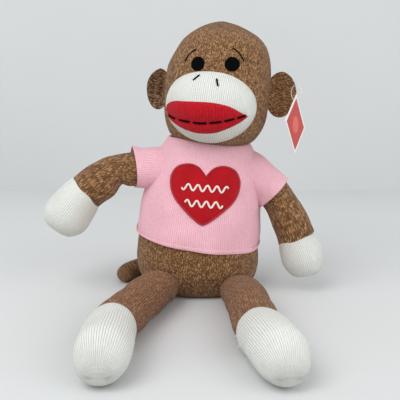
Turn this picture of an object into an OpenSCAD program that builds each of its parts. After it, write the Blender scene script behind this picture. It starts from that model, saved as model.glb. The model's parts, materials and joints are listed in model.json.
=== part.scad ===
// Seated stuffed sock monkey in a knitted shirt, built from its separate sewn pieces.
// X runs to the viewer's right, -Y is the way the monkey faces, +Z is up.
// The origin is the centre of the flat seat face.

/* [Torso] */
// Half width of the belly, the widest place
belly_r = 77; // [74:1:80]
// Depth of the torso over its width
depth_ratio = 0.82; // [0.78:0.01:0.88]
// Sideways lean of the seated torso in degrees
lean_angle = 4.5; // [0:0.5:6]
// Thickness of the knitted fabric
wall = 2; // [1.6:0.1:2.4]

/* [Head] */
// Half width of the head
head_half_w = 63; // [60:1:66]
// Half depth of the head
head_half_d = 60; // [57:1:63]
// Half height of the head
head_half_h = 70; // [67:1:73]
// Turn of the face towards the viewer's left in degrees
head_turn = 10; // [0:1:14]
// Half width of the muzzle
muzzle_half_w = 53; // [50:1:55]
// Half height of the muzzle
muzzle_half_h = 40; // [37:1:42]
// Radius of an eye
eye_r = 7.5; // [6:0.5:9]

/* [Ears] */
// Half height of an ear
ear_half_h = 27; // [24:1:29]
// Half thickness of an ear
ear_half_t = 8; // [7:0.5:9]

/* [Arms] */
// Radius of the arm tube
arm_r = 21.5; // [20:0.5:22]
// Length from shoulder to elbow crease
upper_arm_len = 40; // [38:1:44]
// Length from elbow crease to wrist seam
forearm_len = 54; // [50:1:60]
// Length of the hand beyond the wrist seam
hand_len = 57; // [54:1:60]
// Widest radius of the hand
hand_r = 27.5; // [25:0.5:28.5]
// Length of a sleeve from the shoulder
sleeve_len = 29; // [26:1:30]

/* [Legs] */
// Radius of the leg tube
leg_r = 23.5; // [22:0.5:24]
// Length from hip to ankle seam
leg_len = 132; // [120:1:140]
// Length of the foot beyond the ankle seam
foot_len = 91; // [86:1:100]
// Widest radius of the foot
foot_r = 26; // [25:0.5:27]

/* [Tail] */
// Radius of the tail tube
tail_r = 12.5; // [11:0.5:13]
// Radius of the curve that the tail lies in
tail_bend_r = 66; // [64:1:70]

/* [Shirt] */
// Thickness of the rib knit
shirt_wall = 2; // [1.6:0.1:2.4]
// Height of the hem's lower edge above the seat
hem_z = 62; // [60:1:66]
// Height of the hem band
hem_band = 10; // [7:1:12]
// Width of the heart patch
heart_w = 82; // [70:1:84]
// Height of the heart patch
heart_h = 71; // [62:1:72]

/* [Hang tag] */
// Short side of the card
tag_w = 45; // [40:1:48]
// Long side of the card
tag_h = 53; // [48:1:56]

/* [Hidden] */

$fn = 72;
round_steps = 8;      // points along each rounded end
gap = 0.2;            // stuffing to cover, and seam to seam
joint_gap = 1;        // clear space round a ball end
far = 300;            // longer than any piece

brown = [0.50, 0.37, 0.25];
cream = [0.90, 0.89, 0.85];
pink = [0.91, 0.70, 0.73];
red = [0.66, 0.09, 0.13];
dark_red = [0.58, 0.06, 0.10];
black = [0.05, 0.05, 0.05];
filling = [0.95, 0.95, 0.93];

// Side line of the torso as [radius, height], from under the seat up to the neck
torso_points = [
  [belly_r * 0.40, -9], [belly_r * 0.70, -4], [belly_r * 0.91, 12], [belly_r, 40], [belly_r * 0.985, 66],
  [belly_r * 0.94, 98], [belly_r * 0.88, 126], [belly_r * 0.81, 150], [belly_r * 0.73, 170],
  [belly_r * 0.62, 182], [belly_r * 0.48, 187], [belly_r * 0.32, 189]
];
spline_steps = 4;

// Joint places; the shoulders and the neck lean with the torso
neck_pivot = leaned([0, -2, 190]);
neck_ball_r = 32;
shoulder_x = 63;
shoulder_z = 149;
shoulder_ball_r = 26;
hip_left = [-43, -56, 27.5];
hip_right = [49, -56, 27.5];
tail_pivot = [-10, 57, tail_r + 0.5];
head_centre = [26, -8, 256];
muzzle_centre = [0, -38, -26];
muzzle_half_d = 46;
muzzle_size = [muzzle_half_w, muzzle_half_d, muzzle_half_h];
head_size = [head_half_w, head_half_d, head_half_h];

// How far each limb points down, forward or outward in degrees
left_upper_down = 0;
left_fore_down = 38;
right_upper_down = 42;
right_fore_down = 63;
arm_forward = 8;
arm_lowest = 50;
left_splay = 15.5;
right_splay = 5;
left_foot_turn = 16;
right_foot_turn = 9;
leg_lowest = 45;
leg_highest = 15;

// ---- helpers ----
function leaned(p) = [
  p.x * cos(lean_angle) + p.z * sin(lean_angle), p.y, p.z * cos(lean_angle) - p.x * sin(lean_angle)
];
function turned(p, a) = [p.x * cos(a) - p.y * sin(a), p.x * sin(a) + p.y * cos(a), p.z];
function head_point(p) = head_centre + leaned(turned(p, -head_turn));
function catmull(a, b, c, d, t) =
  0.5 * (2 * b + (c - a) * t + (2 * a - 5 * b + 4 * c - d) * t * t + (3 * b - a - 3 * c + d) * t * t * t);
function curve(pts) = concat(
  [for (i = [0 : len(pts) - 2], s = [0 : spline_steps - 1])
    catmull(pts[max(i - 1, 0)], pts[i], pts[i + 1], pts[min(i + 2, len(pts) - 1)], s / spline_steps)],
  [pts[len(pts) - 1]]
);
function heading(pts, i) =
  let (d = pts[min(i + 1, len(pts) - 1)] - pts[max(i - 1, 0)])
  d / norm(d);
function moved_out(pts, out) =
  [for (i = [0 : len(pts) - 1]) pts[i] + out * [heading(pts, i).y, -heading(pts, i).x]];
function reversed(pts) = [for (i = [len(pts) - 1 : -1 : 0]) pts[i]];
function closed_to_axis(pts) = concat([[0, pts[0].y]], pts, [[0, pts[len(pts) - 1].y]]);
function between(pts, low, high) = [for (p = pts) if (p.y >= low && p.y <= high) p];
// Rounded end of a tube: from the side at radius r to the tip at length l
function tip(r, l, cap) =
  [for (i = [0 : round_steps]) [r * cos(90 * i / round_steps), l - cap + cap * sin(90 * i / round_steps)]];
// Ball end: from the low pole up to the side
function ball_start(r) =
  [for (i = [0 : round_steps]) [r * sin(90 * i / round_steps), -r * cos(90 * i / round_steps)]];

// Closed skin over rings of points that all have the same count; looped joins the last to the first
module ring_mesh(rings, looped) {
  n = len(rings[0]);
  count = len(rings);
  sides = [
    for (i = [0 : looped ? count - 1 : count - 2], j = [0 : n - 1], half = [0, 1])
      let (a = i * n, b = ((i + 1) % count) * n, k = (j + 1) % n)
      half == 0 ? [a + j, a + k, b + k] : [a + j, b + k, b + j]
  ];
  ends = looped ? [] : [[for (j = [n - 1 : -1 : 0]) j], [for (j = [0 : n - 1]) (count - 1) * n + j]];
  polyhedron([for (ring = rings, p = ring) p], concat(sides, ends));
}

module ellipsoid(size) {
  scale(size) sphere(1, $fn = 96);
}
module lean() {
  rotate([0, lean_angle, 0]) children();
}
module front_and_back(side) {
  // side -1 keeps the front half, side 1 the back half
  intersection() {
    children();
    translate([-far, side < 0 ? -far : 0, -far]) cube([2 * far, far, 2 * far]);
  }
}

// ---- torso ----
module torso_solid(inset, floor_z) {
  intersection() {
    lean() scale([1, depth_ratio, 1])
      rotate_extrude() polygon(closed_to_axis(moved_out(curve(torso_points), -inset)));
    translate([-far, -far, floor_z]) cube([2 * far, 2 * far, far]);
  }
}
module shoulder_room() {
  for (side = [-1, 1]) {
    translate(leaned([side * shoulder_x, -4, shoulder_z])) {
      sphere(shoulder_ball_r + joint_gap);
      rotate([0, side * (90 + arm_lowest), 0]) cylinder(r = shoulder_ball_r + joint_gap, h = 70);
      rotate([0, side * 90, 0]) cylinder(r = shoulder_ball_r + joint_gap, h = 70);
    }
  }
}
module leg_room(hip, splay) {
  translate(hip) {
    sphere(leg_r + joint_gap);
    for (up = [-leg_lowest, 0, leg_highest]) {
      rotate([90 - up, 0, splay]) cylinder(r = leg_r + joint_gap, h = 80);
    }
  }
}
module joint_rooms() {
  shoulder_room();
  leg_room(hip_left, -left_splay);
  leg_room(hip_right, right_splay);
  translate(neck_pivot) sphere(neck_ball_r + joint_gap);
  translate(tail_pivot) sphere(tail_r + 1.5 * joint_gap);
  tail_room(tail_r + joint_gap);
}
module torso_cover() {
  color(brown) difference() {
    torso_solid(0, 0);
    torso_solid(wall, wall);
    joint_rooms();
  }
}
module torso_stuffing() {
  color(filling) difference() {
    torso_solid(wall + gap, wall + gap);
    joint_rooms();
  }
}
module neck_cover() {
  color(brown) translate(neck_pivot) difference() {
    sphere(neck_ball_r);
    sphere(neck_ball_r - wall);
  }
}
module neck_stuffing() {
  color(filling) translate(neck_pivot) sphere(neck_ball_r - wall - gap);
}

// ---- shirt ----
shirt_gap = 0.6;
collar_z = 180;
// Radius of a side line at a height
function radius_at(pts, z) =
  let (i = max([for (k = [0 : len(pts) - 2]) if (pts[k].y <= z) k]))
  let (t = (z - pts[i].y) / (pts[i + 1].y - pts[i].y))
  pts[i].x + t * (pts[i + 1].x - pts[i].x);
// Torso side line between two heights, moved out
function shirt_line(out, low, high) =
  let (pts = moved_out(curve(torso_points), out))
  concat([[radius_at(pts, low), low]], between(pts, low + 0.1, high - 0.1), [[radius_at(pts, high), high]]);
module shirt_ring(low, high, inner, outer) {
  lean() scale([1, depth_ratio, 1]) rotate_extrude()
    polygon(concat(shirt_line(outer, low, high), reversed(shirt_line(inner, low, high))));
}
module shirt_panel(side) {
  difference() {
    front_and_back(side) shirt_ring(hem_z + hem_band, collar_z - 3, shirt_gap, shirt_gap + shirt_wall);
    shoulder_room();
  }
}
module shirt_front() {
  color(pink) shirt_panel(-1);
}
module shirt_back() {
  color(pink) shirt_panel(1);
}
module shirt_band(low, high, outer) {
  // A front half and a back half that meet at the side seams
  for (side = [-1, 1]) {
    front_and_back(side) shirt_ring(low, high, shirt_gap, outer);
  }
}
module shirt_hem() {
  color(pink) shirt_band(hem_z, hem_z + hem_band - gap, shirt_gap + shirt_wall + 0.6);
}
module shirt_collar() {
  color(pink) shirt_band(collar_z - 3 + gap, collar_z + 4, shirt_gap + shirt_wall + 0.4);
}

// ---- heart ----
heart_z = 129.5;
heart_thick = 1.2;
stitch_w = 3;
function heart_outline(w, h) =
  [for (a = [0 : 6 : 354])
    [w * pow(sin(a), 3) / 2, h * (13 * cos(a) - 5 * cos(2 * a) - 2 * cos(3 * a) - cos(4 * a) + 2.6) / 28.9]];
module heart_layer(low, high) {
  // Thin layer over the shirt's front, cut to a shape drawn as seen from the front
  intersection() {
    shirt_ring(hem_z + hem_band, collar_z - 10, low, high);
    lean() translate([0, 0, heart_z]) rotate([90, 0, 0]) linear_extrude(far) children();
  }
}
heart_low = shirt_gap + shirt_wall + 0.05;
module heart_patch() {
  color(red) heart_layer(heart_low, heart_low + heart_thick)
    polygon(heart_outline(heart_w - 2 * stitch_w, heart_h - 2 * stitch_w));
}
module heart_border() {
  color(dark_red) heart_layer(heart_low, heart_low + heart_thick + 0.4) difference() {
    polygon(heart_outline(heart_w, heart_h));
    polygon(heart_outline(heart_w - 2 * stitch_w + 0.1, heart_h - 2 * stitch_w + 0.1));
  }
}
wave_rows = [13, -3];
wave_half = [24, 19];
wave_high = 4;
wave_band = 2.4;
module heart_stitching() {
  color(cream) heart_layer(heart_low + heart_thick + 0.05, heart_low + heart_thick + 0.8)
    for (row = [0, 1]) {
      xs = [-wave_half[row] : 2 : wave_half[row]];
      top = [for (x = xs) [x, wave_rows[row] + wave_high * sin(x * 30)]];
      low = [for (p = top) p - [0, wave_band]];
      polygon(concat(top, reversed(low)));
    }
}

// ---- head ----
module on_head() {
  translate(head_centre) rotate([0, lean_angle, 0]) rotate([0, 0, -head_turn]) children();
}
module neck_room() {
  translate(neck_pivot) sphere(neck_ball_r + joint_gap);
}
module head_cover() {
  color(brown) difference() {
    on_head() ellipsoid(head_size);
    on_head() ellipsoid(head_size - [wall, wall, wall]);
    neck_room();
  }
}
module head_stuffing() {
  color(filling) difference() {
    on_head() ellipsoid(head_size - [1, 1, 1] * (wall + gap));
    neck_room();
  }
}
module muzzle_bulge(out) {
  translate(muzzle_centre) ellipsoid(muzzle_size + [out, out, out]);
}
module muzzle_shell(low, high) {
  difference() {
    muzzle_bulge(high);
    ellipsoid(head_size + [1, 1, 1] * gap);
    muzzle_bulge(low);
  }
}
lips_z = -36.5;
lips_half_w = 47;
lips_half_h = 17.5;
module seen_from_front(z) {
  translate([0, 0, z]) rotate([90, 0, 0]) linear_extrude(far) children();
}
lips_thick = 1.2;
module lips_window() {
  seen_from_front(lips_z)
    polygon([for (a = [0 : 5 : 355]) [lips_half_w * cos(a), lips_half_h * sin(a)]]);
}
module muzzle_cover() {
  color(cream) difference() {
    on_head() muzzle_shell(-wall, 0);
    neck_room();
  }
}
module muzzle_stuffing() {
  color(filling) difference() {
    on_head() muzzle_bulge(-wall - gap);
    on_head() ellipsoid(head_size + [1, 1, 1] * gap);
    neck_room();
  }
}
module lips() {
  color(red) on_head() intersection() {
    muzzle_shell(0.05, lips_thick);
    lips_window();
  }
}
mouth_low_z = -43;
mouth_rise = 10;
mouth_half_w = 40;
dash_len = 10;
dash_w = 2.2;
module mouth_stitches() {
  color(black) on_head() intersection() {
    muzzle_shell(lips_thick + 0.05, lips_thick + 1);
    seen_from_front(mouth_low_z)
      for (i = [0 : 5]) {
        x = (i - 2.5) * 2 * mouth_half_w / 6;
        slope = 2 * mouth_rise * x / pow(mouth_half_w, 2);
        translate([x, mouth_rise * pow(x / mouth_half_w, 2)]) rotate(atan(slope))
          square([dash_len, dash_w], center = true);
      }
  }
}
nostril_x = 11;
nostril_z = 5;
module nostril_stitches() {
  color(black) on_head() intersection() {
    muzzle_shell(0.05, 1);
    seen_from_front(nostril_z)
      for (side = [-1, 1]) {
        translate([side * nostril_x, 0]) rotate(side * -55) square([8, 1.8], center = true);
      }
  }
}
eye_x = 19.5;
eye_z = 21.5;
module face_layer(thick) {
  difference() {
    ellipsoid(head_size + [1, 1, 1] * thick);
    ellipsoid(head_size + [1, 1, 1] * 0.05);
  }
}
module eye(side) {
  color(black) on_head() intersection() {
    face_layer(1.2);
    seen_from_front(eye_z) translate([side * eye_x, 0]) circle(eye_r);
  }
}
module eye_left() {
  eye(-1);
}
module eye_right() {
  eye(1);
}
brow_r = 14;
module brow(side) {
  // A quarter of a thin ring, high at its inner end
  color(black) on_head() intersection() {
    face_layer(1);
    seen_from_front(eye_z + 3) translate([side * (eye_x + 0.5), 0]) intersection() {
      difference() {
        circle(brow_r + 0.8);
        circle(brow_r - 0.8);
      }
      translate([side < 0 ? -far : 0, 0]) square([far, far]);
    }
  }
}
module brow_left() {
  brow(-1);
}
module brow_right() {
  brow(1);
}

// ---- ears and hang tag ----
ear_root_x = 64.5;
ear_left_out = 24;
ear_right_out = 30;
ear_y = 4;
ear_z = -8;
ear_root_h = 14;
ear_root_t = 1.5;
ear_cup = 7;
ear_rings = 10;
ear_sides = 20;
// One upright ring of the ear, from its sewn root (0) to its outer rim (1); the rim curls forward
function ear_ring(out, at) =
  let (swell = sqrt(max(1 - pow(2 * at - 1, 2), 0)))
  let (h = at < 0.5 ? ear_root_h + (ear_half_h - ear_root_h) * swell : ear_half_h * swell + 0.1)
  let (t = at < 0.5 ? ear_root_t + (ear_half_t - ear_root_t) * swell : ear_half_t * swell + 0.1)
  [for (j = [0 : ear_sides - 1])
    let (turn = 360 * j / ear_sides)
    [-ear_root_x - out * at,
      ear_y + t * cos(turn) - ear_cup * (pow(sin(turn) * h / ear_half_h, 2) + at * at - 0.5),
      ear_z + h * sin(turn)]];
module ear(out) {
  // Drawn on the left of the head
  ring_mesh([for (i = [0 : ear_rings]) ear_ring(out, (1 - cos(180 * i / ear_rings)) / 2)], false);
}
module ear_left() {
  color(brown) on_head() ear(ear_left_out);
}
module ear_right() {
  color(brown) on_head() mirror([1, 0, 0]) ear(ear_right_out);
}
// The hole sits just in front of the right ear's rim
tag_forward = 7.5;
tag_drop = 4;
tag_hole = head_point([ear_root_x + ear_right_out - 0.5, -tag_forward, ear_z - tag_drop]);
tag_turn = 61;
tag_thick = 0.8;
tag_hole_r = 2.5;
tag_inset = 7;
loop_r = 9;
loop_wire_r = 0.6;
loop_turn = 30;
module at_tag() {
  // Local X lies in the card, local Y is its thickness
  translate(tag_hole) rotate([0, 0, tag_turn]) children();
}
module hang_tag() {
  color(red) at_tag() rotate([90, 0, 0]) linear_extrude(tag_thick, center = true) difference() {
    translate([0, tag_inset]) mirror([1, 0]) rotate(-90 - atan(tag_w / tag_h)) square([tag_h, tag_w]);
    circle(tag_hole_r);
  }
}
module tag_fastener() {
  color("white") at_tag() rotate([0, 0, -loop_turn]) translate([0, 0, loop_r]) rotate([0, 90, 0])
    rotate_extrude() translate([loop_r, 0]) circle(loop_wire_r, $fn = 16);
}

// ---- arms ----
function shoulder(side) = leaned([side * shoulder_x, -4, shoulder_z]);
function arm_way(side, down) =
  [side * cos(down) * cos(arm_forward), -cos(down) * sin(arm_forward), -sin(down)];
function elbow(side, down) = shoulder(side) + upper_arm_len * arm_way(side, down);
// Turns local +Z into the way the limb points
module along(side, down) {
  rotate([0, 0, -side * arm_forward]) rotate([0, side * (90 + down), 0]) children();
}
elbow_room_r = arm_r + 1.5;
elbow_back = 13;
module upper_arm_solid(r) {
  rotate_extrude() polygon(concat(ball_start(r), [[r, upper_arm_len - elbow_back], [0, upper_arm_len - elbow_back]]));
}
module upper_arm(side, down) {
  color(brown) translate(shoulder(side)) along(side, down) difference() {
    upper_arm_solid(arm_r);
    upper_arm_solid(arm_r - wall);
    translate([0, 0, upper_arm_len]) sphere(elbow_room_r);
  }
}
module upper_arm_filling(side, down) {
  color(filling) translate(shoulder(side)) along(side, down) difference() {
    upper_arm_solid(arm_r - wall - gap);
    translate([0, 0, upper_arm_len]) sphere(elbow_room_r);
  }
}
// Sleeve: a tube that starts as part of a ball in the armhole
sleeve_r = arm_r + gap + shirt_wall + 0.5;
module sleeve(side, down, low, high, thick) {
  color(pink) translate(shoulder(side)) along(side, down) rotate_extrude()
    polygon([[sleeve_r - shirt_wall, low], [sleeve_r + thick, low], [sleeve_r + thick, high], [sleeve_r - shirt_wall, high]]);
}
cuff_len = 7;
sleeve_start = 6;
wrist_r = arm_r + 1;
// Side line of the forearm and hand, with the wrist seam between them
function forearm_side(out) = concat(ball_start(arm_r + out), [[wrist_r + out, forearm_len]]);
function hand_side(out) = concat(
  [[wrist_r + out, forearm_len], [hand_r + out - 1, forearm_len + hand_len * 0.35]],
  tip(hand_r + out, forearm_len + hand_len + out, hand_len * 0.48)
);
module forearm(side, upper_down, down) {
  color(brown) translate(elbow(side, upper_down)) along(side, down)
    rotate_extrude() polygon(concat(forearm_side(0), reversed(forearm_side(-wall))));
}
module forearm_filling(side, upper_down, down) {
  color(filling) translate(elbow(side, upper_down)) along(side, down)
    rotate_extrude() polygon(concat(forearm_side(-wall - gap), hand_side(-wall - gap)));
}
module hand(side, upper_down, down) {
  color(cream) translate(elbow(side, upper_down)) along(side, down) translate([0, 0, gap])
    rotate_extrude() polygon(concat(hand_side(0), reversed(hand_side(-wall))));
}
module upper_arm_left() {
  upper_arm(-1, left_upper_down);
}
module upper_arm_left_stuffing() {
  upper_arm_filling(-1, left_upper_down);
}
module sleeve_left() {
  sleeve(-1, left_upper_down, sleeve_start, sleeve_len - cuff_len, 0);
}
module sleeve_cuff_left() {
  sleeve(-1, left_upper_down, sleeve_len - cuff_len + gap, sleeve_len, 0.5);
}
module forearm_left() {
  forearm(-1, left_upper_down, left_fore_down);
}
module forearm_left_stuffing() {
  forearm_filling(-1, left_upper_down, left_fore_down);
}
module hand_left() {
  hand(-1, left_upper_down, left_fore_down);
}
module upper_arm_right() {
  upper_arm(1, right_upper_down);
}
module upper_arm_right_stuffing() {
  upper_arm_filling(1, right_upper_down);
}
module sleeve_right() {
  sleeve(1, right_upper_down, sleeve_start, sleeve_len - cuff_len, 0);
}
module sleeve_cuff_right() {
  sleeve(1, right_upper_down, sleeve_len - cuff_len + gap, sleeve_len, 0.5);
}
module forearm_right() {
  forearm(1, right_upper_down, right_fore_down);
}
module forearm_right_stuffing() {
  forearm_filling(1, right_upper_down, right_fore_down);
}
module hand_right() {
  hand(1, right_upper_down, right_fore_down);
}

// ---- legs ----
leg_tilt = asin((foot_r - hip_left.z) / (leg_len + foot_len - foot_r));
mitre_room = 5;
function leg_side(out) =
  concat(ball_start(leg_r + out), [[leg_r + out, leg_len + mitre_room]]);
function foot_side(out) = concat(
  [[leg_r + out, -mitre_room], [leg_r + out, 0], [foot_r + out - 0.5, foot_len * 0.3]],
  tip(foot_r + out, foot_len + out, foot_r * 1.1)
);
module at_leg(hip, splay) {
  translate(hip) rotate([0, 0, splay]) rotate([90 - leg_tilt, 0, 0]) children();
}
// Leg and foot meet on a slanted plane, because the foot turns at the ankle
module past_ankle(turn, away) {
  translate([0, 0, leg_len]) rotate([0, turn / 2, 0])
    translate([0, 0, away * (far - gap) / 2]) cube(far, center = true);
}
module leg(hip, splay, turn) {
  color(brown) at_leg(hip, splay) difference() {
    rotate_extrude() polygon(concat(leg_side(0), reversed(leg_side(-wall))));
    past_ankle(turn, 1);
  }
}
module leg_filling(hip, splay, turn) {
  inner = -wall - 2 * gap;
  color(filling) at_leg(hip, splay) {
    rotate_extrude() polygon(concat(ball_start(leg_r + inner), [[leg_r + inner, leg_len]], [[0, leg_len]]));
    translate([0, 0, leg_len]) sphere(leg_r + inner);
    translate([0, 0, leg_len]) rotate([0, turn, 0])
      rotate_extrude() polygon(concat([[0, 0]], [for (p = foot_side(inner)) if (p[1] >= 0) p]));
  }
}
module foot(hip, splay, turn) {
  color(cream) at_leg(hip, splay) difference() {
    translate([0, 0, leg_len]) rotate([0, turn, 0])
      rotate_extrude() polygon(concat(foot_side(0), reversed(foot_side(-wall))));
    past_ankle(turn, -1);
  }
}
module leg_left() {
  leg(hip_left, -left_splay, left_foot_turn);
}
module leg_left_stuffing() {
  leg_filling(hip_left, -left_splay, left_foot_turn);
}
module foot_left() {
  foot(hip_left, -left_splay, left_foot_turn);
}
module leg_right() {
  leg(hip_right, right_splay, right_foot_turn);
}
module leg_right_stuffing() {
  leg_filling(hip_right, right_splay, right_foot_turn);
}
module foot_right() {
  foot(hip_right, right_splay, right_foot_turn);
}

// ---- tail ----
tail_start = 70;
tail_sweep = 95;
tail_sides = 20;
tail_rings = 12;
gather_r = 0.4;
// Places along the bend as [angle, radius], ending in a rounded tip with a small gather
function tail_line(r) = concat(
  [for (i = [0 : tail_rings]) [tail_start + tail_sweep * i / tail_rings, r]],
  [for (i = [1 : round_steps])
    [tail_start + tail_sweep + r * sin(90 * i / round_steps) / tail_bend_r * 180 / PI,
      max(r * cos(90 * i / round_steps), gather_r)]]
);
function tail_ring(place) =
  [for (j = [0 : tail_sides - 1])
    let (turn = 360 * j / tail_sides, out = tail_bend_r + place.y * cos(turn))
    [out * cos(place.x), out * sin(place.x), place.y * sin(turn)]];
module at_tail_bend() {
  // The bend's centre, placed so that the arc starts at the tail's root
  translate(tail_pivot - tail_bend_r * [cos(tail_start), sin(tail_start), 0]) children();
}
module tail_room(r) {
  at_tail_bend() rotate([0, 0, tail_start])
    rotate_extrude(angle = tail_sweep / 2) translate([tail_bend_r, 0]) circle(r);
}
module tail_cover() {
  color(brown) at_tail_bend()
    ring_mesh([for (p = concat(tail_line(tail_r), reversed(tail_line(tail_r - wall)))) tail_ring(p)], true);
}
module tail_stuffing() {
  color(filling) at_tail_bend()
    ring_mesh([for (p = tail_line(tail_r - wall - gap)) tail_ring(p)], false);
}

torso_cover();
torso_stuffing();
neck_cover();
neck_stuffing();
shirt_front();
shirt_back();
shirt_hem();
shirt_collar();
heart_patch();
heart_border();
heart_stitching();
head_cover();
head_stuffing();
muzzle_cover();
muzzle_stuffing();
lips();
mouth_stitches();
nostril_stitches();
eye_left();
eye_right();
brow_left();
brow_right();
ear_left();
ear_right();
tag_fastener();
hang_tag();
upper_arm_left();
upper_arm_left_stuffing();
sleeve_left();
sleeve_cuff_left();
forearm_left();
forearm_left_stuffing();
hand_left();
upper_arm_right();
upper_arm_right_stuffing();
sleeve_right();
sleeve_cuff_right();
forearm_right();
forearm_right_stuffing();
hand_right();
leg_left();
leg_left_stuffing();
foot_left();
leg_right();
leg_right_stuffing();
foot_right();
tail_cover();
tail_stuffing();
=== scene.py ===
import bpy
import json
import math
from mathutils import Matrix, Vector, noise


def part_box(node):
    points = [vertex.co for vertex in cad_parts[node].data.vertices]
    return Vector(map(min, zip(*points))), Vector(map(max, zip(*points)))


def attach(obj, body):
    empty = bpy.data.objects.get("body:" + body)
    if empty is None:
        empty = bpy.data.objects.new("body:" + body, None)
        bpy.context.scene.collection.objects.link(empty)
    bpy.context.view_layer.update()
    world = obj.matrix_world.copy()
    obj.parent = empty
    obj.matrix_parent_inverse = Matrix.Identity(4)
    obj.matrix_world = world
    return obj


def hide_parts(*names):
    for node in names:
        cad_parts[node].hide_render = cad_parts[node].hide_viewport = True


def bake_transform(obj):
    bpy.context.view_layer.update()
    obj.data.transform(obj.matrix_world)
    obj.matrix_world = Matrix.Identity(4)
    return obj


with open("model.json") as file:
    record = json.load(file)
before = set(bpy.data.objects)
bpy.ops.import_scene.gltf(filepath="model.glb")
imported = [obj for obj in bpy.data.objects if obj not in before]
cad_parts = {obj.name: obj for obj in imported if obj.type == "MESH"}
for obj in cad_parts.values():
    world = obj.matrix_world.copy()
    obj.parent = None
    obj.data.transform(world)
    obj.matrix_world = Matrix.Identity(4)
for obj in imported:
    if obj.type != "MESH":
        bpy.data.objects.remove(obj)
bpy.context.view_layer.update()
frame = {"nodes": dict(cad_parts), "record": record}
joints = {joint["name"]: joint for joint in frame["record"]["behaviour"]["joints"]}
mm = 0.001
print("frame loaded")

# places in the frame, all measured in millimetres and turned to metres
torsoUp = Vector(joints["neck_turn"]["axis"])
torsoSide = Vector((torsoUp.z, 0, -torsoUp.x))
headRight = Vector(joints["neck_nod"]["axis"])
headBack = torsoUp.cross(headRight)
headLow, headHigh = (Vector(corner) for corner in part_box("head_cover"))
headCentre = Vector(((headLow.x + headHigh.x) / 2, (headLow.y + headHigh.y) / 2, headHigh.z - 70 * mm))


def jointAt(name):
    return Vector(joints[name]["pos_m"])


def fromTorso(x, y, z):
    return (torsoSide * x + Vector((0, y, 0)) + torsoUp * z) * mm


def fromHead(x, y, z):
    return headCentre + (headRight * x + headBack * y + torsoUp * z) * mm


def along(points, t):
    # smooth line through a few points, t runs from 0 to 1
    spot = max(0.0, min(t, 1.0)) * (len(points) - 1)
    i = min(int(spot), len(points) - 2)
    f = spot - i
    a, b = points[max(i - 1, 0)], points[i]
    c, d = points[i + 1], points[min(i + 2, len(points) - 1)]
    return [
        0.5 * (2 * q + (r - p) * f + (2 * p - 5 * q + 4 * r - s) * f * f + (3 * q - p - 3 * r + s) * f ** 3)
        for p, q, r, s in zip(a, b, c, d)
    ]


def lumps(point, size, depth):
    # slow rise and fall of a stuffed surface, the same on every run
    return noise.noise(point / size) * depth


# mesh making
def only(piece):
    bpy.ops.object.select_all(action="DESELECT")
    piece.select_set(True)
    bpy.context.view_layer.objects.active = piece


def softSheet(name, across, rows, place, stitches=(1, 1), closed=True):
    # a grid that is wrapped to shape; its UV map counts knit stitches
    bpy.ops.object.select_all(action="DESELECT")
    bpy.ops.mesh.primitive_grid_add(x_subdivisions=across, y_subdivisions=rows, size=2)
    piece = bpy.context.object
    piece.name = name
    piece.data.name = name
    for vertex in piece.data.vertices:
        vertex.co = place((vertex.co.x + 1) / 2, (vertex.co.y + 1) / 2)
    for spot in piece.data.uv_layers[0].data:
        spot.uv = (spot.uv[0] * stitches[0], spot.uv[1] * stitches[1])
    piece.data.uv_layers[0].name = "UVMap"
    bpy.ops.object.mode_set(mode="EDIT")
    bpy.ops.mesh.select_all(action="SELECT")
    bpy.ops.mesh.remove_doubles(threshold=0.00002)
    if closed:
        bpy.ops.mesh.normals_make_consistent(inside=False)
    bpy.ops.object.mode_set(mode="OBJECT")
    bpy.ops.object.shade_smooth()
    return piece


def thicken(piece, thickness, offset=1.0):
    only(piece)
    wall = piece.modifiers.new("wall", "SOLIDIFY")
    wall.thickness = thickness
    wall.offset = offset
    bpy.ops.object.modifier_apply(modifier="wall")
    return piece


def flipIfNeeded(piece, outward):
    # an open sheet faces the way of outward
    total = Vector((0, 0, 0))
    for face in piece.data.polygons:
        total += face.normal * face.area
    if total.dot(outward) < 0:
        only(piece)
        bpy.ops.object.mode_set(mode="EDIT")
        bpy.ops.mesh.select_all(action="SELECT")
        bpy.ops.mesh.flip_normals()
        bpy.ops.object.mode_set(mode="OBJECT")
    return piece


def tubeLength(points):
    spots = [Vector(along(points, i / 40)[:3]) for i in range(41)]
    return sum((b - a).length for a, b in zip(spots, spots[1:]))


def tubePlace(points, startCap, endCap, up=Vector((0, 0, 1)), depth=0.0, size=0.03, flat=None, seam=0.0,
              drop=0.0):
    # points are (x, y, z, half width, half height) in metres; both ends close in a rounded cap,
    # and the far end draws in to a seam line: its share of the width, and how far it sits below the middle
    length = tubeLength(points)
    startShare, endShare = 0.16, 0.24

    def place(u, v):
        if v < startShare:
            angle = (1 - v / startShare) * math.pi / 2
            run, thin, broad = startCap * (1 - math.sin(angle)), math.cos(angle), math.cos(angle)
        elif v > 1 - endShare:
            angle = (v - 1 + endShare) / endShare * math.pi / 2
            run, thin = length - endCap * (1 - math.sin(angle)), math.cos(angle)
            broad = seam + (1 - seam) * thin
        else:
            share = (v - startShare) / (1 - startShare - endShare)
            run, thin, broad = startCap + share * (length - startCap - endCap), 1.0, 1.0
        t = run / length
        x, y, z, wide, high = along(points, t)
        way = Vector(along(points, t + 0.01)[:3]) - Vector(along(points, t - 0.01)[:3])
        way.normalize()
        side = way.cross(up).normalized()
        top = side.cross(way)
        turn = 2 * math.pi * u
        spot = Vector((x, y, z)) + side * wide * broad * math.cos(turn) + top * high * thin * math.sin(turn)
        if v > 1 - endShare:
            spot -= top * high * (1 - thin) * drop
        out = (side * math.cos(turn) + top * math.sin(turn)) * min(thin * 2, 1)
        spot += out * lumps(spot, size, depth)
        if flat is not None and spot.z < flat:
            spot.z = flat + (spot.z - flat) * 0.25
        return spot

    return place


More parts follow.
